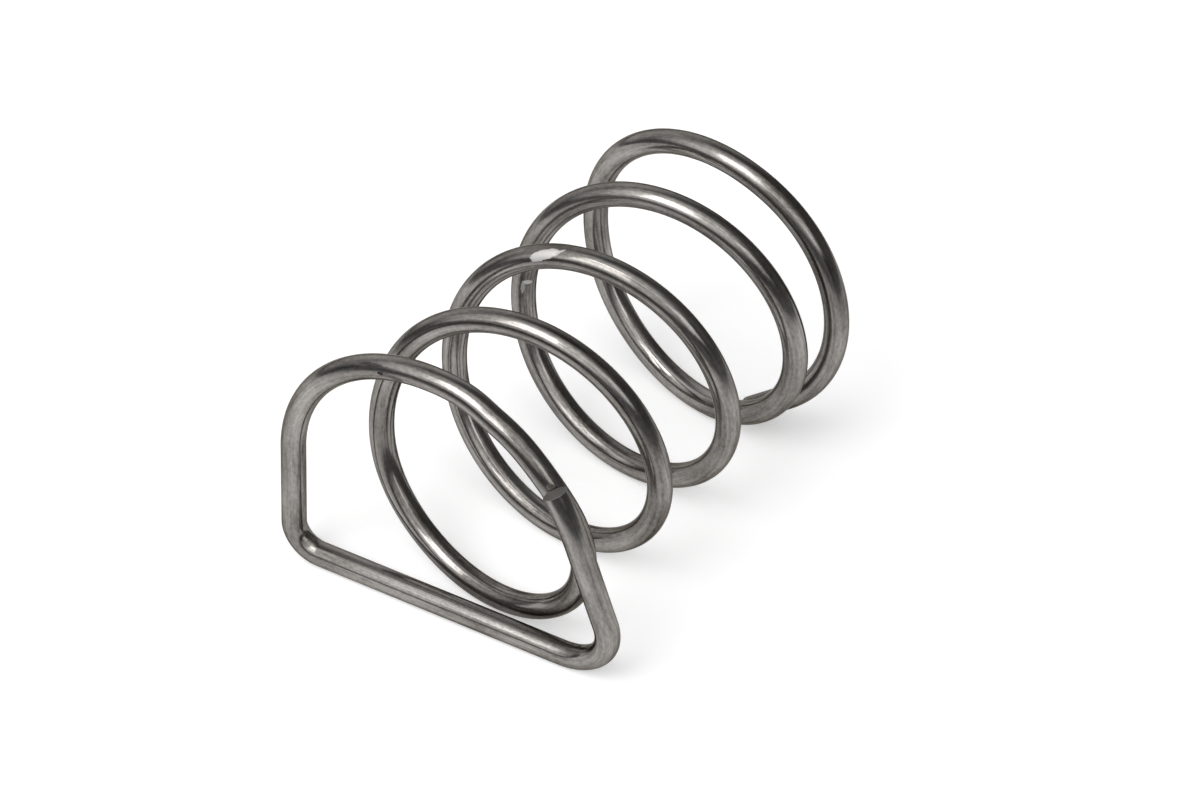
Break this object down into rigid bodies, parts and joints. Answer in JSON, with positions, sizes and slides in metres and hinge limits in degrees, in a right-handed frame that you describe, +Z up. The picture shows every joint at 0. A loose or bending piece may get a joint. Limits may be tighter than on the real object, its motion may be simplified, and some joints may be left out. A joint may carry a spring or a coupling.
{
  "type": "compression spring",
  "caption": "Round-wire compression spring with wide open coils, one closed end turn, and a D-shaped end turn with a flat foot that hooks round a boss.",
  "frame": {"origin": "on the coil axis, level along the axis with the top of the D-shaped end turn", "axes": "+Y along the coil axis from the D-shaped end to the closed end, +Z up with the flat of the D underneath, +X to the right seen from the D-shaped end"},
  "size_m": [0.0311, 0.0389, 0.0259],
  "materials": {
    "spring_steel": "polished, fine lengthwise drawing lines"
  },
  "bodies": {
    "root": {"spring_wire": "spring_steel"}
  },
  "joints": []
}
